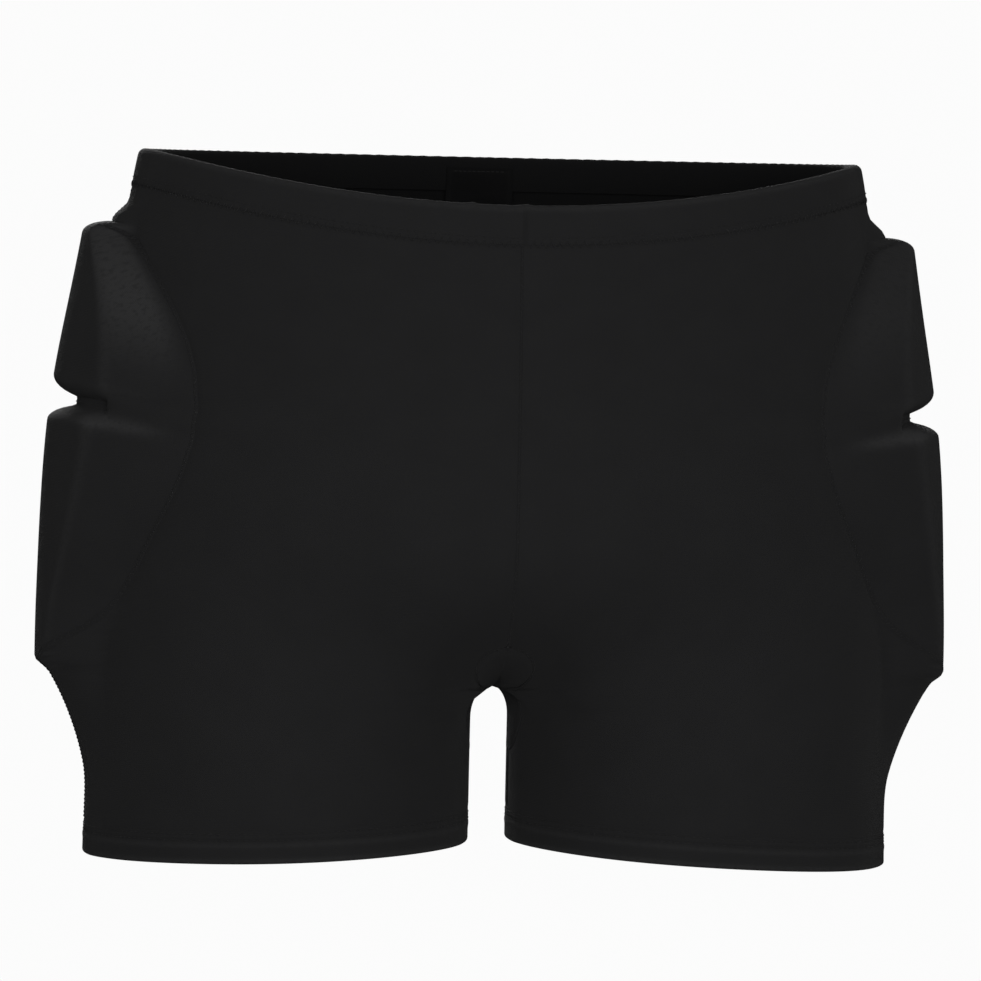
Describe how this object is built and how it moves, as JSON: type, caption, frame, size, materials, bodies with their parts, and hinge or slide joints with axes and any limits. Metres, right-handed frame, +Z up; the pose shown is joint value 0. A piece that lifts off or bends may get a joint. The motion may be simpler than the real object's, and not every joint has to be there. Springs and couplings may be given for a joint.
{
  "type": "padded impact shorts",
  "caption": "Close-fitting stretch shorts with a raised side panel over an upper and a lower foam hip pad on each side, an elastic waistband and folded hems.",
  "frame": {"origin": "middle of the waist opening, level with the rim at the wearer's sides", "axes": "+Z up when worn, -Y to the wearer's front, -X to the wearer's right"},
  "size_m": [0.4192, 0.2401, 0.3222],
  "materials": {
    "shell_fabric": "matte black brushed stretch knit",
    "lining_fabric": "matte black fine mesh",
    "elastic": "ribbed black woven elastic",
    "foam": "closed-cell foam, fine pores, dark grey",
    "thread": "matte black flat-seam thread",
    "label": "blank dark satin tape"
  },
  "bodies": {
    "pelvis": {"front_panel_right": "shell_fabric", "back_panel_right": "shell_fabric", "side_cover_right": "shell_fabric", "hip_lining_right": "lining_fabric", "hip_pad_upper_right": "foam", "hip_pad_lower_right": "foam", "seat_pad_right": "foam", "cover_seam_front_right": "thread", "cover_seam_back_right": "thread", "pad_divider_seam_right": "thread", "inseam_right": "thread", "front_panel_left": "shell_fabric", "back_panel_left": "shell_fabric", "side_cover_left": "shell_fabric", "hip_lining_left": "lining_fabric", "hip_pad_upper_left": "foam", "hip_pad_lower_left": "foam", "seat_pad_left": "foam", "cover_seam_front_left": "thread", "cover_seam_back_left": "thread", "pad_divider_seam_left": "thread", "inseam_left": "thread", "crotch_gusset": "shell_fabric", "waistband": "shell_fabric", "waist_elastic": "elastic", "seat_lining": "lining_fabric", "tailbone_pad": "foam", "waistband_topstitch": "thread", "front_centre_seam": "thread", "back_centre_seam": "thread", "care_label": "label"},
    "leg_right": {"hem_band_right": "shell_fabric", "hem_topstitch_right": "thread"},
    "leg_left": {"hem_band_left": "shell_fabric", "hem_topstitch_left": "thread"}
  },
  "joints": [
    {"name": "hip_flex_right", "type": "hinge", "parent": "pelvis", "child": "leg_right", "pos_m": [-0.09, -0.015, -0.183], "axis": [-1, 0, 0], "range_deg": [-10, 30], "stiffness_Nm_per_rad": 1.5, "deforming": ["front_panel_right", "back_panel_right", "side_cover_right", "hip_lining_right", "hip_pad_lower_right", "seat_pad_right", "cover_seam_front_right", "cover_seam_back_right", "inseam_right", "crotch_gusset", "seat_lining"]},
    {"name": "hip_flex_left", "type": "hinge", "parent": "pelvis", "child": "leg_left", "pos_m": [0.09, -0.015, -0.183], "axis": [-1, 0, 0], "range_deg": [-10, 30], "stiffness_Nm_per_rad": 1.5, "deforming": ["front_panel_left", "back_panel_left", "side_cover_left", "hip_lining_left", "hip_pad_lower_left", "seat_pad_left", "cover_seam_front_left", "cover_seam_back_left", "inseam_left", "crotch_gusset", "seat_lining"]}
  ]
}
